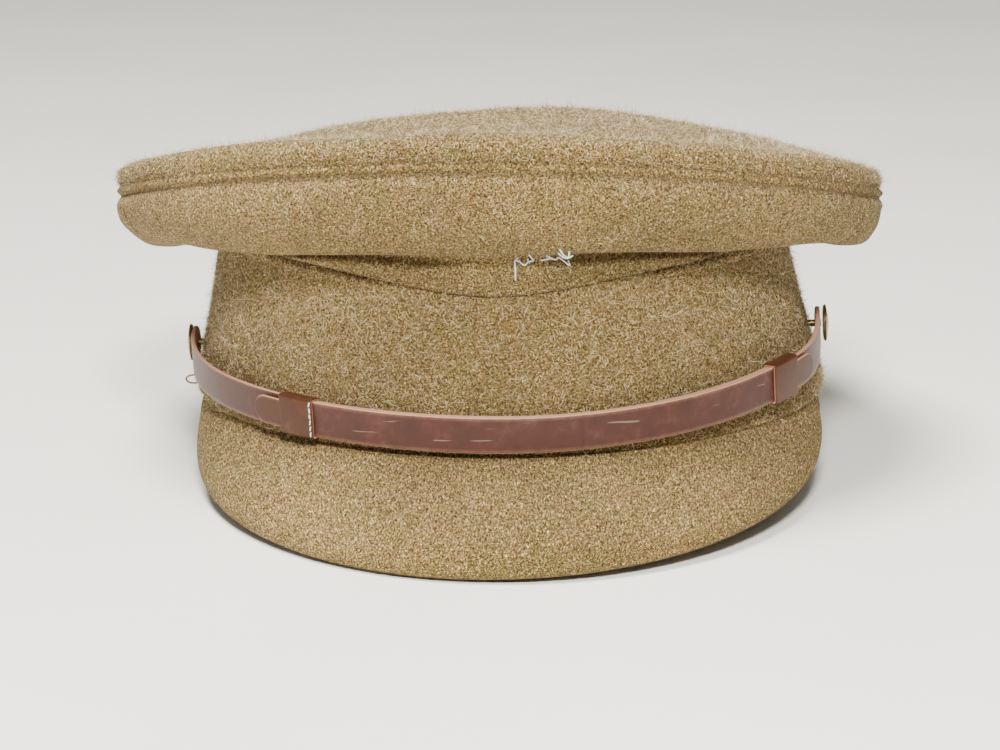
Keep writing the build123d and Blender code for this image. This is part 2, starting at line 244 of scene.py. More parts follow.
def join(name, objects):
    # several solids as one mesh
    for o in bpy.context.selected_objects:
        o.select_set(False)
    for o in objects:
        o.select_set(True)
    bpy.context.view_layer.objects.active = objects[0]
    bpy.ops.object.join()
    objects[0].name = name
    objects[0].data.name = name
    return objects[0]


def newMaterial(name):
    # an empty material with its shader and output
    mat = bpy.data.materials.new(name)
    mat.use_nodes = True
    tree = mat.node_tree
    tree.nodes.clear()
    out = tree.nodes.new("ShaderNodeOutputMaterial")
    shader = tree.nodes.new("ShaderNodeBsdfPrincipled")
    tree.links.new(shader.outputs[0], out.inputs[0])
    return mat, tree, shader


def node(tree, kind, inputs=(), **settings):
    # a shader node with its settings, and its inputs linked or given a value
    n = tree.nodes.new("ShaderNode" + kind)
    for key, value in settings.items():
        setattr(n, key, value)
    for key, value in dict(inputs).items():
        if isinstance(value, bpy.types.NodeSocket):
            tree.links.new(value, n.inputs[key])
        else:
            n.inputs[key].default_value = value
    return n


def ramp(tree, value, stops):
    # a colour that runs through the given stops
    n = node(tree, "ValToRGB", {"Fac": value})
    while len(n.color_ramp.elements) < len(stops):
        n.color_ramp.elements.new(0.5)
    for e, (pos, colour) in zip(n.color_ramp.elements, stops):
        e.position = pos
        e.color = (*colour, 1)
    return n.outputs[0]


def mix(tree, fac, a, b, blend="MIX"):
    # two colours mixed by a share
    n = node(tree, "Mix", data_type="RGBA", blend_type=blend)
    for key, value in ((0, fac), (6, a), (7, b)):
        if isinstance(value, bpy.types.NodeSocket):
            tree.links.new(value, n.inputs[key])
        else:
            n.inputs[key].default_value = value if key == 0 else (*value, 1)
    return n.outputs[2]


def maths(tree, operation, a, b=0.0):
    # one sum of two values
    return node(tree, "Math", {0: a, 1: b}, operation=operation).outputs[0]


def groupOf(name, inputs, outputs, build):
    # node group with named sockets; build(tree, inputNode, outputNode) wires its inside
    g = bpy.data.node_groups.new(name, "ShaderNodeTree")
    for label, kind, value in inputs:
        s = g.interface.new_socket(name=label, in_out="INPUT", socket_type=kind)
        if value is not None:
            s.default_value = value
    for label, kind in outputs:
        g.interface.new_socket(name=label, in_out="OUTPUT", socket_type=kind)
    build(g, g.nodes.new("NodeGroupInput"), g.nodes.new("NodeGroupOutput"))
    return g


def buildFibres(g, inp, out):
    # short streaks of fibre lying three ways, and their height
    coords = node(g, "TexCoord").outputs["Object"]
    heights = []
    for k, turn in enumerate(((0.5, 0.2, 0.1), (1.7, 0.9, 2.2), (2.4, 2.0, 0.7))):
        m = node(g, "Mapping", {"Vector": coords, "Rotation": turn, "Scale": (1.0, 0.28, 1.0)})
        n = node(g, "TexNoise", {"Vector": m.outputs[0], "Scale": inp.outputs["Scale"],
                                 "Detail": 3.0, "Roughness": 0.65, "Distortion": 0.6})
        heights.append(n.outputs[0])
    top = maths(g, "MAXIMUM", maths(g, "MAXIMUM", heights[0], heights[1]), heights[2])
    spread = node(g, "MapRange", {"Value": top, 1: 0.49, 2: 0.70, 3: 0.0, 4: 1.0})
    g.links.new(spread.outputs[0], out.inputs["Height"])
    tone = node(g, "TexNoise", {"Vector": coords, "Scale": maths(g, "MULTIPLY", inp.outputs["Scale"], 0.5),
                                "Detail": 2.0, "Roughness": 0.7})
    g.links.new(tone.outputs[0], out.inputs["Tone"])


fibres = groupOf("woolFibres", [("Scale", "NodeSocketFloat", 1100.0)],
                 [("Height", "NodeSocketFloat"), ("Tone", "NodeSocketFloat")], buildFibres)


def buildGrain(g, inp, out):
    # leather pebble cells with creases between them
    coords = node(g, "TexCoord").outputs["Object"]
    cells = node(g, "TexVoronoi", {"Vector": coords, "Scale": inp.outputs["Scale"], "Randomness": 1.0},
                 feature="DISTANCE_TO_EDGE")
    soft = node(g, "MapRange", {"Value": cells.outputs[0], 1: 0.0, 2: 0.25, 3: 0.0, 4: 1.0})
    fine = node(g, "TexNoise", {"Vector": coords, "Scale": maths(g, "MULTIPLY", inp.outputs["Scale"], 2.5),
                                "Detail": 4.0})
    g.links.new(maths(g, "ADD", maths(g, "MULTIPLY", soft.outputs[0], 0.6),
                      maths(g, "MULTIPLY", fine.outputs[0], 0.5)), out.inputs["Height"])


grain = groupOf("leatherGrain", [("Scale", "NodeSocketFloat", 1500.0)], [("Height", "NodeSocketFloat")],
                buildGrain)


def useGroup(tree, group, **values):
    # a group's node with its values set
    n = tree.nodes.new("ShaderNodeGroup")
    n.node_tree = group
    for key, value in values.items():
        n.inputs[key].default_value = value
    return n


wool = {
    "fibre": [(0.0, (0.040, 0.023, 0.006)), (0.28, (0.145, 0.094, 0.029)), (0.58, (0.30, 0.210, 0.080)),
              (0.82, (0.55, 0.42, 0.19)), (1.0, (0.86, 0.72, 0.41))],
    "drift": [(0.3, (0.92, 0.98, 0.78)), (0.47, (1.0, 0.97, 0.92)), (0.58, (1.08, 0.98, 1.0)),
              (0.72, (1.1, 0.98, 0.78))],
    "roughness": 0.95, "specular": 0.15,
    "sheen": 0.12, "sheenRoughness": 0.45, "sheenTint": (0.92, 0.76, 0.48, 1),
}


def woolMaterial(name, dark=0.0, scale=1900.0, bump=0.7):
    # khaki wool: fibre colours from brown through tan to cream, drifting between olive, ochre and pink; a dark
    # above 0 makes a copy darkened as painted shade
    mat, tree, shader = newMaterial(name)
    f = useGroup(tree, fibres, Scale=scale)
    base = ramp(tree, f.outputs["Height"], wool["fibre"])
    coords = node(tree, "TexCoord").outputs["Object"]
    drift = node(tree, "TexNoise", {"Vector": coords, "Scale": 130.0, "Detail": 3.0, "Roughness": 0.6})
    hue = ramp(tree, drift.outputs[0], wool["drift"])
    tinted = mix(tree, 0.8, base, hue, "MULTIPLY")
    broad = node(tree, "TexNoise", {"Vector": coords, "Scale": 22.0, "Detail": 2.0})
    # the broad tone varies at random; dark lowers all of it as painted shade
    shade = ramp(tree, broad.outputs[0], [(0.3, (0.80 - dark,) * 3), (0.7, (1.08 - dark,) * 3)])
    colour = mix(tree, 1.0, tinted, shade, "MULTIPLY")
    tree.links.new(colour, shader.inputs["Base Color"])
    shader.inputs["Roughness"].default_value = wool["roughness"]
    shader.inputs["Specular IOR Level"].default_value = wool["specular"]
    shader.inputs["Sheen Weight"].default_value = wool["sheen"]
    shader.inputs["Sheen Roughness"].default_value = wool["sheenRoughness"]
    shader.inputs["Sheen Tint"].default_value = wool["sheenTint"]
    b = node(tree, "Bump", {"Height": f.outputs["Height"], "Strength": bump, "Distance": 0.0005})
    tree.links.new(b.outputs[0], shader.inputs["Normal"])
    return mat


def plainMaterial(name, colour, roughness=0.5, metallic=0.0, noise=0.15, scale=400.0, bump=0.1, sheen=0.0,
                  worn=None):
    # one colour that varies a little, with fine relief; worn colour shows in patches where given
    mat, tree, shader = newMaterial(name)
    coords = node(tree, "TexCoord").outputs["Object"]
    n = node(tree, "TexNoise", {"Vector": coords, "Scale": scale, "Detail": 4.0})
    low = tuple(c * (1 - noise) for c in colour)
    high = tuple(min(1, c * (1 + noise)) for c in colour)
    col = ramp(tree, n.outputs[0], [(0.3, low), (0.7, high)])
    if worn:
        patch = node(tree, "TexNoise", {"Vector": coords, "Scale": scale * 0.4, "Detail": 5.0,
                                        "Roughness": 0.7})
        where = node(tree, "MapRange", {"Value": patch.outputs[0], 1: 0.5, 2: 0.66, 3: 0.0, 4: 1.0})
        col = mix(tree, where.outputs[0], col, worn)
    tree.links.new(col, shader.inputs["Base Color"])
    rough = node(tree, "MapRange", {"Value": n.outputs[0], 1: 0.3, 2: 0.7, 3: max(0.05, roughness - 0.1),
                                    4: min(1, roughness + 0.1)})
    tree.links.new(rough.outputs[0], shader.inputs["Roughness"])
    shader.inputs["Metallic"].default_value = metallic
    shader.inputs["Sheen Weight"].default_value = sheen
    b = node(tree, "Bump", {"Height": n.outputs[0], "Strength": bump, "Distance": 0.0003})
    tree.links.new(b.outputs[0], shader.inputs["Normal"])
    return mat


leather = {
    "coat": 0.06, "coatRoughness": 0.35, "specular": 0.24, "scratch": (0.45, 0.33, 0.27), "grain": 1700.0,
}


def leatherMaterial(name, face, edge, roughness=0.46, scratches=True):
    # u runs along the strap in metres and v round its section: 0 to 1 is the face, above 1 the cut edges
    # and the flesh side
    mat, tree, shader = newMaterial(name)
    uv = node(tree, "SeparateXYZ", {0: node(tree, "UVMap", uv_map="surface").outputs[0]})
    coords = node(tree, "TexCoord").outputs["Object"]
    g = useGroup(tree, grain, Scale=leather["grain"])
    cloudy = node(tree, "TexNoise", {"Vector": coords, "Scale": 160.0, "Detail": 5.0, "Roughness": 0.65})
    col = ramp(tree, cloudy.outputs[0], [(0.3, tuple(c * 0.72 for c in face)), (0.55, face),
                                         (0.75, tuple(min(1, c * 1.35 + 0.012) for c in face))])
    v = uv.outputs[1]
    nearEdge = maths(tree, "ABSOLUTE", maths(tree, "SUBTRACT", v, 0.5))
    rubbed = node(tree, "MapRange", {"Value": nearEdge, 1: 0.40, 2: 0.5, 3: 0.0, 4: 0.35})
    patchy = node(tree, "TexNoise", {"Vector": coords, "Scale": 700.0, "Detail": 3.0})
    rubMask = maths(tree, "MULTIPLY", rubbed.outputs[0], patchy.outputs[0])
    col = mix(tree, rubMask, col, edge)
    raw = mix(tree, maths(tree, "MULTIPLY", patchy.outputs[0], 0.5), edge, tuple(c * 0.6 for c in edge))
    isRaw = maths(tree, "GREATER_THAN", v, 1.0)
    if scratches:
        m = node(tree, "Mapping", {"Vector": coords, "Rotation": (0.2, 0.5, 0.3), "Scale": (60, 60, 900)})
        s = node(tree, "TexNoise", {"Vector": m.outputs[0], "Scale": 1.0, "Detail": 1.0})
        thin = node(tree, "MapRange", {"Value": s.outputs[0], 1: 0.74, 2: 0.77, 3: 0.0, 4: 0.3})
        col = mix(tree, thin.outputs[0], col, leather["scratch"])
    col = mix(tree, isRaw, col, raw)
    tree.links.new(col, shader.inputs["Base Color"])
    rough = maths(tree, "ADD", maths(tree, "MULTIPLY", cloudy.outputs[0], 0.25),
                  maths(tree, "ADD", maths(tree, "MULTIPLY", isRaw, 0.35), roughness - 0.12))
    tree.links.new(rough, shader.inputs["Roughness"])
    shader.inputs["Coat Roughness"].default_value = leather["coatRoughness"]
    shader.inputs["Coat Weight"].default_value = leather["coat"]
    shader.inputs["Specular IOR Level"].default_value = leather["specular"]
    b = node(tree, "Bump", {"Height": g.outputs[0], "Strength": 0.22, "Distance": 0.0002})
    tree.links.new(b.outputs[0], shader.inputs["Normal"])
    return mat


khaki = woolMaterial("khakiWool")
khakiPeak = woolMaterial("khakiWoolPeak", scale=2100.0)
napTones = [("napBrown", (0.15, 0.095, 0.045)), ("napTan", (0.33, 0.24, 0.125)),
            ("napOlive", (0.27, 0.235, 0.11)), ("napPink", (0.44, 0.30, 0.18)),
            ("napCream", (0.86, 0.73, 0.46))]
napMaterials = [plainMaterial(n, c, 0.8, noise=0.2, scale=60, bump=0.0) for n, c in napTones]
strapLeather = leatherMaterial("strapLeather", (0.064, 0.021, 0.014), (0.52, 0.28, 0.18))
keeperLeather = leatherMaterial("keeperLeather", (0.062, 0.019, 0.006), (0.50, 0.26, 0.15), 0.42, False)
sweatLeather = leatherMaterial("sweatLeather", (0.30, 0.16, 0.08), (0.42, 0.27, 0.16), 0.5, False)
liningCotton = plainMaterial("liningCotton", (0.34, 0.25, 0.13), 0.45, noise=0.12, scale=900, bump=0.15)
boardMaterial = plainMaterial("pressedBoard", (0.30, 0.23, 0.15), 0.8, noise=0.2, scale=700, bump=0.3)
wireMaterial = plainMaterial("steelWire", (0.45, 0.44, 0.42), 0.35, 1.0, 0.1, 500)
darkWire = plainMaterial("darkWire", (0.16, 0.09, 0.05), 0.45, 0.9, 0.4, 900, worn=(0.30, 0.17, 0.10))
brass = plainMaterial("agedBrass", (0.42, 0.29, 0.13), 0.38, 1.0, 0.25, 600, 0.2, worn=(0.17, 0.12, 0.07))
threadWhite = plainMaterial("whiteThread", (0.72, 0.76, 0.84), 0.7, noise=0.1, scale=2500, bump=0.3,
                            sheen=0.3)
threadKhaki = plainMaterial("khakiThread", (0.22, 0.155, 0.08), 0.8, noise=0.2, scale=2500, bump=0.3)


def dress(obj, body, slot, material, *replaced):
    # one material for the piece, the body it rides and the CAD pieces that it stands for; the slot argument is not
    # used
    obj.data.materials.clear()
    obj.data.materials.append(material)
    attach(obj, body)
    if replaced:
        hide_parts(*replaced)
    return obj


crown = {
    "around": 300, "down": 46, "rings": 70, "edgeRows": 18,
    "roll": 6.2 * mm,          # the top cloth stands this high over the seam
    "dome": 17.5 * mm,         # the soft middle stands above the rolled edge
    "groove": 1.5 * mm,        # each stitched groove lies this far from the seam line
    "frontSeam": math.radians(75), "backSeam": math.radians(50),
    # the side curve's two control points at side, front and back, mm, and what each leans by
    "upperOut": (4.2, 9, 5), "upperDown": (12.5, 16, 17), "upperLean": (0.8, 1.2),
    "lowerOut": (18, 3, 12), "lowerUp": (-17.5, 14, -14), "lowerLean": (2, 2),
    "swell": 0.5 * mm, "dents": (1.5 * mm, 0.5 * mm), "seamDip": 0.8 * mm, "seamWidth": 0.9 * mm,
    "fold": (3.4, 5.0), "foldWidth": 0.065,       # depth over the middle and more beside it, mm
    "foldAt": 0.69, "foldSink": 0.2, "foldReach": 70 * mm, "beside": 30 * mm,
    "belly": 2.0 * mm, "besideBelly": 2.4 * mm, "sag": 1.6 * mm,
    "rollSteps": [(0, 0), (0.55, 0.22), (0.8, 0.5), (0.1, 0.8), (-2.4, 1.02), (-6.5, 1.12)],   # out mm, up in rolls
    "middle": 6 * mm,
    # height, place across and width of each swell: the middle has slumped at -X and stands higher at +X
    "swells": [(-2.9 * mm, -24 * mm, 44 * mm), (2.4 * mm, 88 * mm, 32 * mm)],
}


def sideProfile(t, n):
    # cubic curve from the lower groove out over the lobe and in to the band seam, for each angle
    rim = np.stack([rimOff(t) - 0.5 * mm, rimZ(t) - crown["groove"]], -1)
    seamZ = bandTop(t)
    seam = np.stack([-cap["taper"] * seamZ, seamZ], -1)
    c = np.cos(t)
    out, up = crown["upperLean"]
    upper = rim + mm * np.stack([around(t, *crown["upperOut"]) - out * c,
                                 -around(t, *crown["upperDown"]) + up * c], -1)
    out, up = crown["lowerLean"]
    lower = seam + mm * np.stack([around(t, *crown["lowerOut"]) - out * c,
                                  around(t, *crown["lowerUp"], 0.8) + up * c], -1)
    k = np.linspace(0, 1, n)[:, None, None]
    return (1 - k) ** 3 * rim + 3 * k * (1 - k) ** 2 * upper + 3 * k * k * (1 - k) * lower + k ** 3 * seam


def sideGrid(t, n):
    # the side of the crown: the profile with a swell just under the groove and soft dents along it
    prof = sideProfile(t, n)
    k = np.linspace(0, 1, n)[:, None]
    hold = np.sin(np.pi * k) ** 0.7
    swell = crown["swell"] * bell(k - 0.06, 0.05) - crown["swell"] * bell(k, 0.02)
    broad, small = crown["dents"]
    dents = hold * wobble(t[None], k * 3, 11, broad) + hold * wobble(t[None] * 3, k * 7, 5, small)
    f, b = shares(t)
    across = cap["halfWidth"] * np.cos(t)
    beside = 1 - bell(across, crown["beside"])
    where = crown["foldAt"] + crown["foldSink"] * np.clip((across / crown["foldReach"]) ** 2, 0, 1)
    belly = (crown["belly"] * bell(k - where + 0.30, 0.16)
             + crown["besideBelly"] * beside * bell(k - where + 0.15, 0.08))
    depth, more = crown["fold"]
    fold = (depth + more * beside) * mm * bell(k - where, crown["foldWidth"])
    pinch = (belly - fold) * f[None]
    off = prof[..., 0] + swell + dents + pinch
    z = prof[..., 1] - 0.5 * dents * (1 - f[None]) - crown["sag"] * beside * f * bell(k - where + 0.09, 0.07)
    for edge in (front - crown["frontSeam"], front + crown["frontSeam"], back - crown["backSeam"],
                 back + crown["backSeam"]):
        gap = np.abs((t - edge + np.pi) % (2 * np.pi) - np.pi) * 0.1
        off = off - crown["seamDip"] * bell(gap[None], crown["seamWidth"])
    return place(t[None], off, z).transpose(1, 0, 2)


def topGrid(t, n):
    # the top: from the upper groove up over a rolled edge and in to the middle, which is lifted
    groove = np.stack([rimOff(t) - 0.6 * mm, rimZ(t) + crown["groove"]], -1)
    roll = crown["roll"]
    knots = np.stack([groove + np.array([o * mm, h * roll]) for o, h in crown["rollSteps"]])
    rows = crown["edgeRows"]
    edge = spline(knots, rows)
    ring = place(t[None], edge[..., 0], edge[..., 1])
    last = ring[-1]
    centre = np.array([-cap["lean"] * cap["rimZ"], crown["middle"], 0.0])
    k = np.linspace(0, 1, n - rows + 1)[1:, None, None]
    flat = last + (centre - last) * k
    rho = 1 - k[..., 0]
    level = cap["rimZ"] + crown["groove"] + 1.12 * roll
    line = level + (last[..., 2][None] - level) * rho ** 1.6
    lift = crown["dome"] * np.clip(1 - rho ** 2, 0, 1) ** 1.5
    soft = np.sin(np.pi * np.clip(k[..., 0], 0, 1)) ** 0.6
    flat[..., 2] = line + lift + soft * (wobble(t[None], rho * 4, 21, 1.3 * mm)) * rho
    uneven = sum(high * bell(flat[..., 0] - at, width) for high, at, width in crown["swells"])
    flat[..., 2] += uneven * (1 - rho ** 8)
    grid = np.concatenate([ring, flat])
    hold = np.concatenate([np.linspace(0, 1, rows) ** 0.5, 1 - np.linspace(0, 1, n - rows + 1)[1:]])
    grid[..., 2] += hold[:, None] * wobble(t[None] * 2, 0.0, 31, 0.5 * mm)
    return grid.transpose(1, 0, 2)


def fullTurn(n):
    # n even angles once round, from the middle of the back
    return back + np.linspace(0, 2 * np.pi, n, endpoint=False)


turn = fullTurn(crown["around"])
top = topGrid(turn, crown["rings"])
crownTop = sheetSolid("crownTop", top, cap["cloth"], wrap=True)
dress(crownTop, "cap", "wool_cloth", khaki, "crown_top")

quarters = {
    "Front": (front - crown["frontSeam"], front + crown["frontSeam"], "crown_side_front", 190),
    "Left": (front + crown["frontSeam"], back - crown["backSeam"], "crown_side_left", 80),
    "Back": (back - crown["backSeam"], back + crown["backSeam"], "crown_side_back", 130),
    "Right": (back + crown["backSeam"] - 2 * np.pi, front - crown["frontSeam"], "crown_side_right", 80),
}
sideGrids, panels = {}, {}
for side, (a, b, nodeName, count) in quarters.items():
    t = np.linspace(a, b, count)
    sideGrids[side] = sideGrid(t, crown["down"])
    panel = sheetSolid("crownSide" + side, sideGrids[side][:, ::-1], cap["cloth"])
    panels[side] = dress(panel, "cap", "wool_cloth", khaki, nodeName)
print("crown done")


# rim seam: a raised ridge between two stitched grooves
ridge = {
    "shape": [(-2.6, 1.9), (-1.0, 1.62), (-0.1, 1.0), (0.45, 0.3), (0.5, -0.25), (-0.1, -1.0), (-0.9, -1.6),
              (-2.6, -1.9)],       # out from the rim and up, mm
    "rows": 26, "stitch": 2.6 * mm, "thread": 0.22 * mm, "stitchIn": 0.75 * mm, "stitchUp": 1.55 * mm,
    "radius": 0.118,
}


def ridgeGrid(t):
    # a low arch between the two grooves with its ends tucked in
    knots = np.stack([np.stack([rimOff(t) + o * mm, rimZ(t) + h * mm], -1) for o, h in ridge["shape"]])
    line = spline(knots, ridge["rows"])
    hold = np.sin(np.pi * np.linspace(0, 1, ridge["rows"]))[:, None]
    bumps = 0.12 * mm * hold * wobble(t[None] * 9, 0.0, 3, 1.0)
    return place(t[None], line[..., 0] + bumps, line[..., 1]).transpose(1, 0, 2)


rimRidge = sheetSolid("rimRidge", ridgeGrid(fullTurn(420))[:, ::-1], 0.6 * mm, wrap=True)
dress(rimRidge, "cap", "wool_cloth", khaki, "crown_welt")


def stitchRun(name, a, b, pitch, offset, height, thread, radiusAt):
    # short stitches laid end to end along an angle range, each a six-sided bead
    count = int(abs(b - a) * radiusAt / pitch)
    mids = a + (b - a) * (np.arange(count) + 0.5) / count
    reach = (b - a) / count * 0.36
    s = np.linspace(-1, 1, 5)
    ring = np.linspace(0, 2 * np.pi, 6, endpoint=False)
    t = mids[:, None] + s[None] * reach
    r = thread * np.sqrt(np.clip(1 - s ** 2, 0.02, 1))
    o = offset(t) + 0.25 * thread * (1 - s[None] ** 2)
    h = height(t)
    tt = np.repeat(t[..., None], 6, 2)
    oo = o[..., None] + r[None, :, None] * np.cos(ring)
    hh = h[..., None] + r[None, :, None] * np.sin(ring)
    verts = place(tt, oo, hh).reshape(-1, 3)
    j, k = np.arange(4)[:, None] * 6, np.arange(6)[None]
    after = (k + 1) % 6
    quads = np.stack([j + k, j + after, j + 6 + after, j + 6 + k], -1).reshape(-1, 4)
    begin = 30 * np.arange(count)[:, None]
    allQuads = (quads[None] + begin[..., None]).reshape(-1, 4).tolist()
    ends = (begin + k).tolist() + (begin + 24 + k[:, ::-1]).tolist()
    return outward(meshFrom(name, verts, allQuads + ends, smooth=False))


for label, sign in (("Upper", 1), ("Lower", -1)):
    run = stitchRun("rimStitches" + label, back, back + 2 * np.pi, ridge["stitch"],
                    lambda t: rimOff(t) - ridge["stitchIn"], lambda t: rimZ(t) + sign * ridge["stitchUp"],
                    ridge["thread"], ridge["radius"])
    dress(run, "cap", "wool_cloth", threadKhaki)


band = {
    "around": 420, "ridge": 0.55 * mm, "ridgeDrop": 1.6 * mm, "ridgeWidth": 0.9 * mm,
    "topTuck": 0.9 * mm, "topTuckWidth": 0.5 * mm, "footTuck": 0.6 * mm, "footTuckWidth": 0.6 * mm,
    "wave": 0.45 * mm,
}
bandRows = np.concatenate([np.linspace(0, 0.06, 6)[:-1], np.linspace(0.06, 0.9, 18)[:-1],
                           np.linspace(0.9, 1, 16)])


def bandSurface(t):
    # tapering wall with a turned-in foot and a soft ridge just under its top seam
    k = bandRows[:, None]
    z = bandTop(t)[None] * k
    fromTop = bandTop(t)[None] - z
    off = (-cap["taper"] * z + band["ridge"] * bell(fromTop - band["ridgeDrop"], band["ridgeWidth"])
           - band["topTuck"] * bell(fromTop, band["topTuckWidth"])
           - band["footTuck"] * bell(z, band["footTuckWidth"])
           + np.sin(np.pi * k) * wobble(t[None], k * 2, 41, band["wave"]))
    return place(t[None], off, z).transpose(1, 0, 2)


bandWall = bandSurface(fullTurn(band["around"]))
bandCloth = sheetSolid("bandCloth", bandWall, cap["cloth"], wrap=True)
dress(bandCloth, "cap", "wool_cloth", khaki, "band_cloth")
print("band done")


peakPlies = [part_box(n) for n in ("peak_top_cloth", "peak_under_cloth")]
peak = {
    "halfWidth": cap["halfWidth"] - 2.5 * mm,
    "reach": -peakPlies[0][0][1], "corner": 20 * mm,
    "drop": 17.4 * mm, "cornerDrop": 3 * mm, "tilt": 0.02, "root": 78.0, "tuck": 3.5 * mm, "crown": 2 * mm,
    "cover": 0.9 * mm, "under": 0.8 * mm, "rows": 34,
    "thick": peakPlies[0][0][2] - peakPlies[1][0][2] + 2 * mm,
    "round": 2.4 * mm,         # the cloth turns round the edge in this much
}


def peakLine(turnDeg, k):
    # straight from the root under the band to the edge's half oval, bulging up between
    w = np.radians(turnDeg)
    root = place(-np.pi / 2 + np.radians(turnDeg * peak["root"] / 90), -peak["tuck"], 0 * w)
    c = np.clip(np.cos(w), 0, 1)
    x = peak["halfWidth"] * np.sin(w)
    edgeZ = peak["tilt"] * x - peak["cornerDrop"] - (peak["drop"] - peak["cornerDrop"]) * c ** 0.45
    edgeY = -peak["corner"] - (peak["reach"] - peak["corner"]) * c
    edge = np.stack([x - cap["lean"] * edgeZ, edgeY, edgeZ], -1)
    p = root + (edge - root) * k[..., None]
    p[..., 2] += peak["crown"] * 4 * k * (1 - k) * c
    return p


def peakGrid(turns):
    # the cover's top, out as far as where it starts to turn round the edge
    tt, kk = np.meshgrid(turns, np.linspace(0, 1, peak["rows"]), indexing="ij")
    ends = [peakLine(turns, np.full_like(turns, k)) for k in (0, 1)]
    run = np.linalg.norm(ends[1] - ends[0], axis=-1)
    upper = peakLine(tt, kk * (1 - peak["round"] / np.maximum(run, 2.2 * peak["round"]))[:, None])
    upper[..., 2] -= ease((kk - 0.84) / 0.16) ** 2 * 0.7 * mm + 0.05 * mm
    upper[..., 2] += wobble(tt / 30, kk * 3, 51, 0.35 * mm) * np.sin(np.pi * kk)
    return upper


peakTurns = np.linspace(-90, 90, 181)
peakUpper = peakGrid(peakTurns)
outDir = peakUpper[:, -1] - peakUpper[:, -6]
outDir /= np.linalg.norm(outDir, axis=1, keepdims=True)
thick = peak["thick"] * (0.45 + 0.55 * ease((90 - np.abs(peakTurns)) / 22))[:, None]
arc = np.linspace(0, np.pi, 12)[1:]
downDir = np.array([0, 0, -1.0])
edgeRound = (peakUpper[:, -1][:, None] + outDir[:, None] * (np.sin(arc)[None, :, None] * peak["round"])
             + downDir * ((1 - np.cos(arc))[None, :, None] / 2) * thick[:, None])
inward = peakUpper[:, -6:-5] - peakUpper[:, -1:]
underCover = edgeRound[:, -1:] + inward * np.linspace(0, 1, 5)[None, 1:, None]
peakOuter = np.concatenate([peakUpper, edgeRound, underCover], 1)
peakCover = sheetSolid("peakCover", peakOuter, peak["cover"])
dress(peakCover, "cap", "wool_cloth", khakiPeak, "peak_top_cloth")

kk = np.linspace(0.0, 0.93, 20)
tt, kk = np.meshgrid(peakTurns, kk, indexing="ij")
under = peakLine(tt, kk)
under[..., 2] -= (0.25 * mm + thick + 0.2 * mm * np.sin(np.pi * kk))
peakUnder = sheetSolid("peakUnder", under[:, ::-1], peak["under"])
# the peak's underside wears a copy of the khaki wool darkened by 0.12 as painted shade
dress(peakUnder, "cap", "wool_cloth", woolMaterial("khakiWoolUnderPaintedShade", 0.12, 1900.0, 0.3), "peak_under_cloth")
print("peak done")


sweatBox = [np.array(c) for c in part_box("sweatband")]
sweat = {"off": cap["halfWidth"] - (sweatBox[1][0] - sweatBox[0][0]) / 2, "low": sweatBox[0][2],
         "high": sweatBox[1][2], "thick": 1.0 * mm, "stitchRows": (2.0, 35.5)}       # rows in mm
t = fullTurn(300)
k = np.linspace(0, 1, 24)[:, None]
z = sweat["low"] + (sweat["high"] - sweat["low"]) * k
off = (-sweat["off"] - cap["taper"] * z - sweat["thick"]
       + np.sin(np.pi * k) * wobble(t[None], k * 2, 61, 0.5 * mm))
off = off + ease((k - 0.92) / 0.08) * 0.5 * mm
inside = place(t[None], off, z).transpose(1, 0, 2)
uv = np.stack(np.broadcast_arrays((t - back)[:, None] * 0.1, np.linspace(0.02, 0.98, 24)[None]), -1)
sweatband = sheetSolid("sweatband", inside[:, ::-1], sweat["thick"], wrap=True, uv=uv[:, ::-1])
dress(sweatband, "cap", "sweat_leather", sweatLeather, "sweatband")
for row, height in enumerate(sweat["stitchRows"]):
    run = stitchRun("sweatStitches" + "AB"[row], back, back + 2 * np.pi, 3 * mm,
                    lambda t: -sweat["off"] - cap["taper"] * height * mm - 1.05 * mm,
                    lambda t: np.full_like(t, height * mm), 0.2 * mm, 0.09)
    dress(run, "cap", "sweat_leather", threadKhaki)

liningSide = {"foot": 30 * mm, "rise": 3 * mm, "in": 12 * mm, "drop": 7 * mm, "thick": 0.6 * mm}
t = fullTurn(360)
held = cap["cloth"] + 1.5 * mm
shoulder = bandTop(t) + liningSide["rise"]
foot = np.full_like(t, liningSide["foot"])
knots = np.stack([
    np.stack([-cap["taper"] * foot - held, foot], -1),
    np.stack([-cap["taper"] * shoulder - held, shoulder], -1),
    np.stack([rimOff(t) - liningSide["in"], rimZ(t) - liningSide["drop"]], -1)])
rows = np.linspace(0, 2, 26)[:, None, None]
line = np.where(rows < 1, knots[0] + (knots[1] - knots[0]) * rows,
                knots[1] + (knots[2] - knots[1]) * (rows - 1))
pleat = 0.5 * mm * np.sin(t * 60) * np.clip(rows[..., 0] - 0.8, 0, 1) * np.clip(2.2 - rows[..., 0], 0, 1)
liningSkin = place(t[None], line[..., 0] - 0.15 * mm + pleat, line[..., 1]).transpose(1, 0, 2)
sideLining = sheetSolid("sideLining", liningSkin[:, ::-1], -liningSide["thick"] * 0.8, wrap=True)
dress(sideLining, "cap", "lining_cotton", liningCotton, "crown_lining_side")

disc = topGrid(t, 60)[:, crown["edgeRows"]:]
rimIn = place(t, rimOff(t) - liningSide["in"], rimZ(t) - liningSide["drop"])
share = np.linspace(0, 1, disc.shape[1])[None, :, None]
middle = disc[:, -1:]
underTop = rimIn[:, None] + (middle - rimIn[:, None]) * share
underTop[..., 2] = disc[..., 2] - 6 * mm - 7 * mm * (1 - share[..., 0]) ** 2
underTop[..., 2] = np.minimum(underTop[..., 2], disc[..., 2] - 4 * mm)
underTop[:, 0] = rimIn
topLining = sheetSolid("topLining", underTop, 0.5 * mm, wrap=True)
dress(topLining, "cap", "lining_cotton", liningCotton, "crown_lining_top")
print("inside done")


def recolour(nodeName, material):
    # a CAD piece that stays as it is, in its own material
    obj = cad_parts[nodeName]
    obj.data.materials.clear()
    obj.data.materials.append(material)


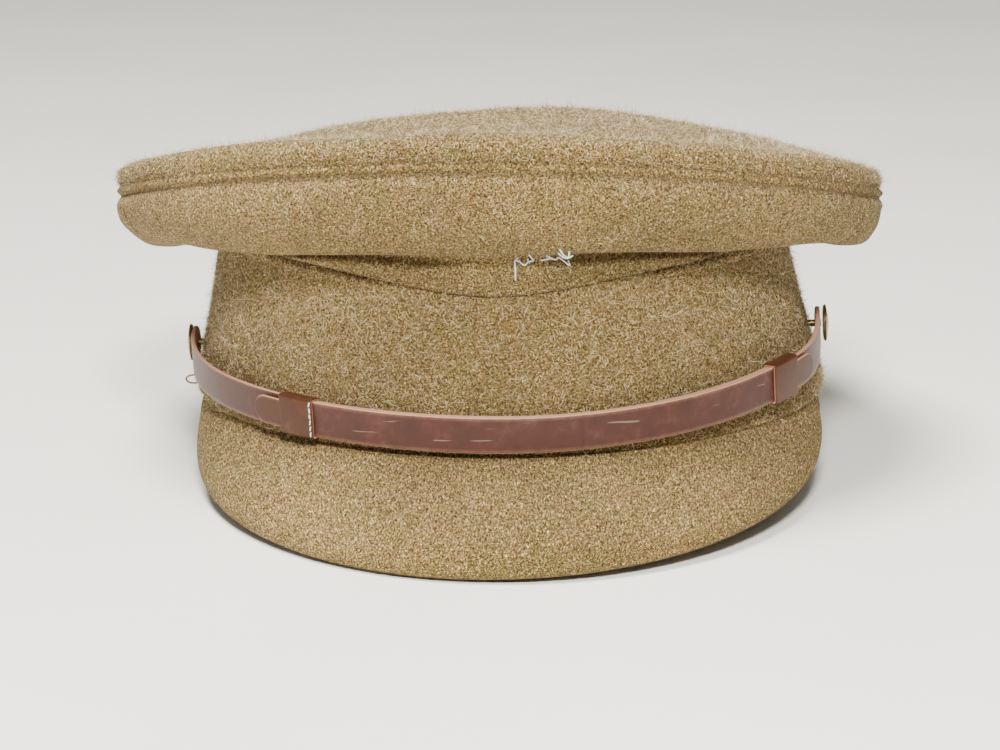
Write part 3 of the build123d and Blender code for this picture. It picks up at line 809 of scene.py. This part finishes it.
for name in ("band_stiffener", "peak_board"):
    recolour(name, boardMaterial)
for name in ("crown_hoop_wire", "hoop_ferrule", "front_stay"):
    recolour(name, wireMaterial)


strap = {
    "width": 10.3 * mm, "ply": 1.2 * mm, "rest": 1.75 * mm, "rise": 7 * mm, "skew": 3.5 * mm, "off": 1 * mm,
    "gap": 0.1 * mm, "swingRoom": 2.4 * mm, "endGap": 0.4 * mm,
    "keeper": 12 * mm, "keeperPly": 0.7 * mm, "rightKeeper": 235.0, "leftKeeper": 325.0,
    "tab": 10.5 * mm, "tabWidth": 8.4 * mm,
}


def strapMid(deg):
    # height of the strap's middle line: lowest at the front, rising to both sides, a little more at +X
    f = np.clip(-np.sin(np.radians(deg)), 0, 1)
    c = np.cos(np.radians(deg))
    return strap["rest"] + strap["width"] / 2 + strap["rise"] * (1 - f ** 1.5) + strap["skew"] * c * np.abs(c)


def endOff(deg):
    # how far out an end lies, so that it clears the leaning band as it swings
    return -cap["taper"] * (strapMid(deg) - strap["width"] / 2 - strap["swingRoom"]) + strap["endGap"]


def innerOff(deg):
    # out from the band: the inner strap, eased from its -X end on to the front
    k = ease((deg - 185) / 30)
    return endOff(180.0) * (1 - k) + strap["off"] * k


def outerOff(deg):
    # the outer strap, one ply further out, eased from its +X end
    k = ease((355 - deg) / 25)
    return endOff(360.0) * (1 - k) + (strap["off"] + strap["ply"] + strap["gap"]) * k


def strapSection(width, ply, bevel=0.25 * mm):
    # closed outline of a strap with softened corners: (across, out) and a v value for each point.
    # the face has v 0 to 1, the cut edges and the flesh side more than 1
    w, h = width / 2, ply
    face = [(x, h) for x in np.linspace(-w + bevel, w - bevel, 9)]
    outline = face + [(w - bevel * 0.3, h - bevel * 0.3), (w, h - bevel), (w, bevel), (w - bevel, 0),
                      (-w + bevel, 0), (-w, bevel), (-w, h - bevel), (-w + bevel * 0.3, h - bevel * 0.3)]
    v = [i / 8 for i in range(9)] + [1.2, 1.4, 1.5, 1.6, 1.7, 1.8, 1.85, 1.9]
    return np.array(outline), np.array(v)


def strapPiece(name, degs, off, width, ply, roundStart=False, roundEnd=False):
    # the strap's section carried round the band, narrowed to a round end where asked
    outline, v = strapSection(width, ply)
    n, m = len(degs), len(outline)
    arc = np.radians(degs - degs[0]) * 0.1
    total = arc[-1]
    narrow = np.ones(n)
    half = width / 2
    for flag, dist in ((roundStart, arc), (roundEnd, total - arc)):
        if flag:
            d = np.clip(dist / half, 0.004, 1)
            narrow = np.minimum(narrow, np.sqrt(1 - (1 - d) ** 2))
    across = outline[None, :, 0] * narrow[:, None]
    mid = strapMid(degs)
    out = off(degs)[:, None] + outline[None, :, 1]
    pts = place(np.radians(degs)[:, None], out, mid[:, None] + across)
    faces = gridFaces(m, n, True)
    k = np.arange(m)
    verts = pts.transpose(1, 0, 2).reshape(-1, 3)
    uvs = np.stack(np.broadcast_arrays(arc[None], v[:, None]), -1)
    ends = [(k * n).tolist(), (k * n + n - 1)[::-1].tolist()]
    return outward(meshFrom(name, verts, faces.tolist() + ends, uvs))


def keeperDegrees(length):
    # degrees round the band that take up a length
    return math.degrees(length / cap["halfLength"])


def creaseOut(degs):
    # the outer strap bows out a little between keepers and has a sharp crease where it was folded
    bow = 0.35 * mm * np.sin(np.radians(degs * 3)) + 0.25 * mm * np.sin(np.radians(degs * 7 + 40))
    crease = 0.35 * mm * bell(degs - 284.0, 0.35)
    middle = ease((degs - 240) / 8) * ease((320 - degs) / 8)
    return outerOff(degs) + bow * middle * 0.5 + 0.35 * mm * middle - crease * middle


startDeg = strap["rightKeeper"] - keeperDegrees(strap["keeper"] / 4)
tailDeg = keeperDegrees(strap["width"] / 2)
strapOuter = strapPiece("strapOuter", np.linspace(startDeg, 360 + tailDeg, 360), creaseOut, strap["width"],
                        strap["ply"] * 1.1, roundEnd=True)
dress(strapOuter, "chin_strap", "strap_leather", strapLeather, "strap_outer")
endDeg = strap["leftKeeper"] + keeperDegrees(strap["keeper"] / 4)
strapInner = strapPiece("strapInner", np.linspace(180 - tailDeg, endDeg, 360), innerOff,
                        strap["width"] * 0.985, strap["ply"], roundStart=True)
dress(strapInner, "chin_strap", "strap_leather", strapLeather, "strap_inner")


def keeperPiece(name, middle, outboard):
    # leather sleeve round both straps, a rounded-rectangle outline with a second one inside it, and its tab
    half = keeperDegrees(strap["keeper"] / 2)
    degs = np.linspace(middle - half, middle + half, 26)
    inLow, inHigh = strap["off"] - strap["gap"], strap["off"] + 2.1 * strap["ply"] + 4 * strap["gap"]
    room = strap["width"] / 2 + strap["gap"]

    def outline(grow, r):
        x0, x1, y0, y1 = -room - grow, room + grow, inLow - min(grow, 0.55 * mm), inHigh + grow
        pts = []
        for cx, cy, a in ((x1 - r, y1 - r, 0), (x0 + r, y1 - r, 90), (x0 + r, y0 + r, 180),
                          (x1 - r, y0 + r, 270)):
            for s in np.radians(np.linspace(a, a + 90, 6)):
                pts.append((cx + r * np.cos(s), cy + r * np.sin(s)))
        return np.array(pts)

    outer, inner = outline(strap["keeperPly"], 0.9 * mm), outline(0, 0.3 * mm)
    mid = strapMid(degs)
    shells = [place(np.radians(degs)[:, None], o[None, :, 1], mid[:, None] + o[None, :, 0])
              for o in (outer, inner)]
    n, m = len(degs), len(outer)
    verts = np.concatenate([s.transpose(1, 0, 2).reshape(-1, 3) for s in shells])
    k = np.arange(m)
    nxt = (k + 1) % m
    lining = m * n
    walls = [np.stack([k * n + e, nxt * n + e, nxt * n + e + lining, k * n + e + lining], -1)
             for e in (0, n - 1)]
    faces = np.concatenate([gridFaces(m, n, True), gridFaces(m, n, True, lining, True)] + walls)
    arc = np.radians(degs - degs[0]) * 0.1
    uvs = np.concatenate([np.stack(np.broadcast_arrays(arc[None], np.full((m, 1), v)), -1).reshape(-1, 2)
                          for v in (0.5, 1.5)])
    sleeve = outward(meshFrom(name, verts, faces, uvs))
    near = middle + outboard * half * 0.92
    far = middle + outboard * (half + keeperDegrees(strap["tab"]))
    degs = np.linspace(min(near, far), max(near, far), 40)
    tab = strapPiece(name + "Tab", degs, lambda d: np.full_like(d, inHigh - 0.02 * mm), strap["tabWidth"],
                     strap["keeperPly"], roundStart=outboard < 0, roundEnd=outboard > 0)
    return join(name, [sleeve, tab])


keeperRight = keeperPiece("keeperRight", strap["rightKeeper"], -1)
dress(keeperRight, "chin_strap", "keeper_leather", keeperLeather, "keeper_right")
keeperLeft = keeperPiece("keeperLeft", strap["leftKeeper"], 1)
dress(keeperLeft, "chin_strap", "keeper_leather", keeperLeather, "keeper_left")

stitches = []
stitchDeg = strap["rightKeeper"] + keeperDegrees(strap["keeper"] / 2 - 0.7 * mm)
faceOff = strap["off"] + 2.1 * strap["ply"] + 4 * strap["gap"] + strap["keeperPly"]
for i in range(6):
    mid = strapMid(np.array(stitchDeg)) + (i - 2.5) * 1.75 * mm
    s = np.linspace(-1, 1, 9)
    slant = 0.12 * s * rng.uniform(-1, 1)
    path = place(np.radians(stitchDeg + slant), faceOff + 0.1 * mm * (1 - s ** 2), mid + s * 0.62 * mm)
    stitches.append(tube(f"stitch{i}", path, 0.2 * mm, 8))
whiteStitches = join("keeperStitches", stitches)
dress(whiteStitches, "chin_strap", "white_thread", threadWhite, "keeper_right_stitches")
print("strap done")


button = {"edge": 5.75 * mm, "dome": 1.9 * mm}


def turned(name, profile, centre, axis, sides=72):
    # a profile (radius, height) turned about the shank's line; both ends of the profile are on it
    axis = axis / np.linalg.norm(axis)
    side = np.cross(axis, [0, 0, 1.0])
    side /= np.linalg.norm(side)
    up = np.cross(side, axis)
    a = np.linspace(0, 2 * np.pi, sides, endpoint=False)
    pr = np.asarray(profile)
    spoke = np.cos(a)[:, None] * side + np.sin(a)[:, None] * up
    pts = centre + pr[None, :, 1, None] * axis + pr[None, :, 0, None] * spoke[:, None]
    return outward(meshFrom(name, pts.reshape(-1, 3), gridFaces(sides, len(pr), True)))


def buttonPieces(side, sign, deg):
    # face and back plate turned about the line through both strap ends; profiles are (radius, height)
    here = np.array([*place(np.radians(np.array(deg)), 0.0, strapMid(np.array(deg)))])
    other = 180.0 if sign > 0 else 360.0
    there = np.array([*place(np.radians(np.array(other)), 0.0, strapMid(np.array(other)))])
    axis = (here - there) / np.linalg.norm(here - there)
    lo, hi = [np.array(c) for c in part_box(f"button_{side}_back")]
    inner = (lo if sign > 0 else hi)[0]
    start = abs(inner - here[0])
    edge, dome = button["edge"], button["dome"]
    shell = [(0, 0.55 * mm), (edge * 0.9, 0.55 * mm), (edge * 0.985, 0.45 * mm), (edge, 0.75 * mm),
             (edge * 0.985, 1.0 * mm), (edge * 0.93, 1.05 * mm)]
    shell += [(edge * 0.9 * r, 1.0 * mm + dome * (1 - r ** 2) * 0.4) for r in np.linspace(0, 1, 14)[::-1]]
    face = turned(f"button{side.title()}Face", shell, here + axis * start, axis)
    dress(face, f"button_{side}", "button_brass", brass, f"button_{side}_shell")
    plate = [(0, 0.0), (edge * 0.5, 0.02 * mm), (edge * 0.9, 0.1 * mm), (edge * 0.96, 0.3 * mm),
             (edge * 0.9, 0.5 * mm), (0, 0.5 * mm)]
    rear = turned(f"button{side.title()}Rear", plate, here + axis * start, axis)
    dress(rear, f"button_{side}", "button_brass", brass, f"button_{side}_back")
    for part in ("shank", "split_pin"):
        recolour(f"button_{side}_{part}", brass)


buttonPieces("right", -1, 180.0)
buttonPieces("left", 1, 360.0)


loopLow, loopHigh = [np.array(c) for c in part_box("wire_loop")]
loopMid = (loopLow + loopHigh) / 2
angles = np.radians(np.linspace(-150, 150, 40))
length, high = (loopHigh[0] - loopLow[0]), 1.15 * mm
path = np.stack([loopMid[0] - np.cos(angles) * length * 0.45,
                 loopMid[1] + np.sin(angles) * 0.7 * mm,
                 loopMid[2] + np.sin(angles) * high], -1)
wireLoop = tube("wireLoop", path, 0.28 * mm, 10)
dress(wireLoop, "cap", "dark_wire", darkWire, "wire_loop")


def onFront(x, z):
    # point on the crown's front panel for a place across and up, and its row in the panel's grid
    grid = sideGrids["Front"]
    d = np.hypot(grid[..., 0] - x, grid[..., 2] - z)
    i, j = np.unravel_index(np.argmin(d), d.shape)
    n = normals(grid)[i, j]
    return grid[i, j], n if n[1] < 0 else -n


threadRuns = [      # across, up, and how far each point stands off the cloth, mm
    [(4.9, 50.2, 0.9), (4.6, 51.6, 1.2), (4.1, 53.6, 1.0), (4.0, 55.4, 0.5), (4.9, 55.9, -0.4)],
    [(4.2, 55.2, 0.2), (5.0, 56.2, 0.9), (5.5, 54.9, 1.2), (6.5, 53.9, 1.3), (7.7, 54.2, 1.2),
     (8.6, 55.2, 0.9), (8.4, 58.0, 0.4)],
    [(7.4, 56.2, 0.3), (8.3, 55.9, 1.2), (9.3, 54.6, 0.6)],
    [(12.2, 54.9, -0.3), (12.8, 55.5, 0.7), (13.6, 55.0, 0.9), (14.0, 56.6, 0.4)],
    [(13.8, 56.9, 0.2), (15.0, 56.0, 1.0), (17.0, 54.2, 1.4), (18.6, 52.9, 1.3), (19.0, 53.6, 0.8),
     (18.5, 53.8, 0.9)],
    [(16.6, 58.3, 0.0), (17.6, 58.0, 1.2), (19.2, 58.4, 1.4), (20.6, 58.0, 0.8)],
    [(17.0, 59.5, 0.1), (18.2, 58.6, 1.3), (19.6, 57.4, 0.9)],
    [(19.9, 59.3, 0.2), (18.9, 58.5, 1.5), (17.5, 57.6, 0.8)],
]
strands = []
for i, run in enumerate(threadRuns):
    pts = []
    for x, z, out in run:
        p, n = onFront(x * mm, z * mm)
        pts.append(p + n * (out + 0.2) * mm)
    line = spline(np.array(pts), 40)
    strands.append(tube(f"strand{i}", line, 0.21 * mm * np.linspace(1, 0.8, 40), 8))
badgeThreads = join("badgeThreads", strands)
dress(badgeThreads, "cap", "white_thread", threadWhite, "badge_thread_ends")
print("small things done")


# nap: fibres that stand up from the wool
nap = {
    "length": 2.1 * mm, "width": 0.055 * mm, "rise": 0.5, "strays": 0.08,
    "tones": (0.18, 0.26, 0.16, 0.14, 0.26),       # share of each nap material
    "top": 46000, "sides": {"Front": 42000, "Left": 12000, "Back": 24000, "Right": 12000}, "band": 46000,
    "peak": 26000, "peakRows": 46,
}


def napPiece(name, grid, count, seed, wrap=False):
    # thin three-sided needles scattered evenly by area over a grid, each leaning its own way
    r = np.random.default_rng(seed)
    n = normals(grid, wrap)
    g2, n2 = (np.concatenate([a, a[:1]]) for a in (grid, n)) if wrap else (grid, n)
    a, b, c, d = g2[:-1, :-1], g2[1:, :-1], g2[1:, 1:], g2[:-1, 1:]
    area = np.linalg.norm(np.cross(c - a, d - b), axis=-1).ravel()
    cell = r.choice(area.size, count, p=area / area.sum())
    i, j = np.unravel_index(cell, a.shape[:2])
    u, v = r.random(count)[:, None], r.random(count)[:, None]

    def at(q):
        return ((1 - u) * (1 - v) * q[i, j] + u * (1 - v) * q[i + 1, j] + u * v * q[i + 1, j + 1]
                + (1 - u) * v * q[i, j + 1])

    root, normal = at(g2), at(n2)
    lean = np.cross(normal, r.normal(size=(count, 3)))
    lean /= np.linalg.norm(lean, axis=1, keepdims=True)
    up = (nap["rise"] * r.gamma(1.6, 0.55, count))[:, None]
    long = (r.random(count) < nap["strays"])[:, None]
    up = np.where(long, up + 0.7, up)
    size = nap["length"] * r.uniform(0.45, 1.35, count)[:, None] * np.where(long, 1.9, 1.0)
    direction = lean + normal * up
    direction /= np.linalg.norm(direction, axis=1, keepdims=True)
    side = np.cross(direction, normal)
    side /= np.linalg.norm(side, axis=1, keepdims=True)
    width = nap["width"] * r.uniform(0.7, 1.5, count)[:, None]
    root = root - normal * 0.03 * mm
    base = [root + side * width, root - side * width, root + normal * width * 1.4]
    tip = root + direction * size
    verts = np.stack(base + [tip], 1).reshape(-1, 3)
    q = 4 * np.arange(count)[:, None]
    corners = [q + np.array([f]) for f in ((0, 1, 3), (1, 2, 3), (2, 0, 3), (0, 2, 1))]
    faces = np.concatenate(corners, 1).reshape(-1, 3)
    mesh = bpy.data.meshes.new(name)
    mesh.vertices.add(len(verts))
    mesh.vertices.foreach_set("co", verts.astype(np.float32).ravel())
    mesh.loops.add(len(faces) * 3)
    mesh.loops.foreach_set("vertex_index", faces.astype(np.int32).ravel())
    mesh.polygons.add(len(faces))
    mesh.polygons.foreach_set("loop_start", np.arange(0, len(faces) * 3, 3, dtype=np.int32))
    tone = r.choice(len(napMaterials), count, p=nap["tones"])
    mesh.update(calc_edges=True)
    obj = bpy.data.objects.new(name, mesh)
    bpy.context.collection.objects.link(obj)
    for m in napMaterials:
        mesh.materials.append(m)
    mesh.polygons.foreach_set("material_index", np.repeat(tone, 4).astype(np.int32))
    mesh.update()
    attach(obj, "cap")


napPiece("napTop", top, nap["top"], 101, wrap=True)
for i, (side, amount) in enumerate(nap["sides"].items()):
    napPiece("napSide" + side, sideGrids[side], amount, 110 + i)
napPiece("napBand", bandWall, nap["band"], 120, wrap=True)
napPiece("napPeak", peakOuter[:, :nap["peakRows"]], nap["peak"], 130)
print("nap done")


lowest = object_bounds()[0][2]
floorMat = plainMaterial("paleFloor", (0.94, 0.93, 0.87), 0.85, noise=0.02, scale=8, bump=0.0)
# level as far as well behind the cap, then a quarter round up to a wall
arc = np.linspace(0, np.pi / 2, 16)
profile = np.array([(-2.6, 0.0), (0.0, 0.0)]
                   + [(1.9 + 0.6 * math.sin(a), 0.6 * (1 - math.cos(a))) for a in arc] + [(2.5, 2.4)])
across = np.linspace(-3.5, 3.5, 12)
sweep = np.stack(np.broadcast_arrays(across[:, None], profile[None, :, 0],
                                     profile[None, :, 1] + lowest - 0.3 * mm), -1)
floor = meshFrom("paleFloor", sweep.reshape(-1, 3), gridFaces(12, len(profile), False))
floor.data.materials.append(floorMat)


def areaLight(name, position, target, size, power, colour):
    # a round soft light that faces its target
    lamp = bpy.data.lights.new(name, "AREA")
    lamp.shape = "DISK"
    lamp.size = size
    lamp.energy = power
    lamp.color = colour
    obj = bpy.data.objects.new(name, lamp)
    obj.location = position
    obj.rotation_euler = Vector(np.array(position) - np.array(target)).to_track_quat("Z", "Y").to_euler()
    bpy.context.collection.objects.link(obj)


areaLight("keyNearCamera", (0.06, -1.0, 0.80), (0, 0, 0.03), 0.26, 27, (1.0, 0.97, 0.92))
areaLight("softAbove", (-0.3, -0.2, 1.5), (0, 0, 0), 0.7, 46, (1.0, 0.98, 0.94))
areaLight("fillLow", (-0.8, -0.9, 0.25), (0, 0, 0.02), 0.8, 1.5, (0.97, 0.98, 1.0))
world = bpy.data.worlds.new("studio")
world.use_nodes = True
world.node_tree.nodes["Background"].inputs[0].default_value = (0.92, 0.93, 0.95, 1)
world.node_tree.nodes["Background"].inputs[1].default_value = 0.24
bpy.context.scene.world = world

camera = {"azimuth": 2.1, "elevation": 13.0, "roll": -0.2, "distance": 1.0, "lens": 115.02,
          "target": (-3.4 * mm, 0.0, 0.2 * mm)}
az, el, roll = [math.radians(camera[k]) for k in ("azimuth", "elevation", "roll")]
backward = np.array([math.sin(az) * math.cos(el), -math.cos(az) * math.cos(el), math.sin(el)])
right = np.array([math.cos(az), math.sin(az), 0.0])
upward = np.cross(backward, right)
right, upward = (math.cos(roll) * right + math.sin(roll) * upward,
                 -math.sin(roll) * right + math.cos(roll) * upward)
eye = np.array(camera["target"]) + backward * camera["distance"]
camData = bpy.data.cameras.new("camera")
camData.lens = camera["lens"]
camData.sensor_width = 36.0
camData.clip_start = 0.01
cam = bpy.data.objects.new("camera", camData)
matrix = Matrix.Identity(4)
for i in range(3):
    matrix[i] = (right[i], upward[i], backward[i], eye[i])
cam.matrix_world = matrix
bpy.context.collection.objects.link(cam)
bpy.context.scene.camera = cam
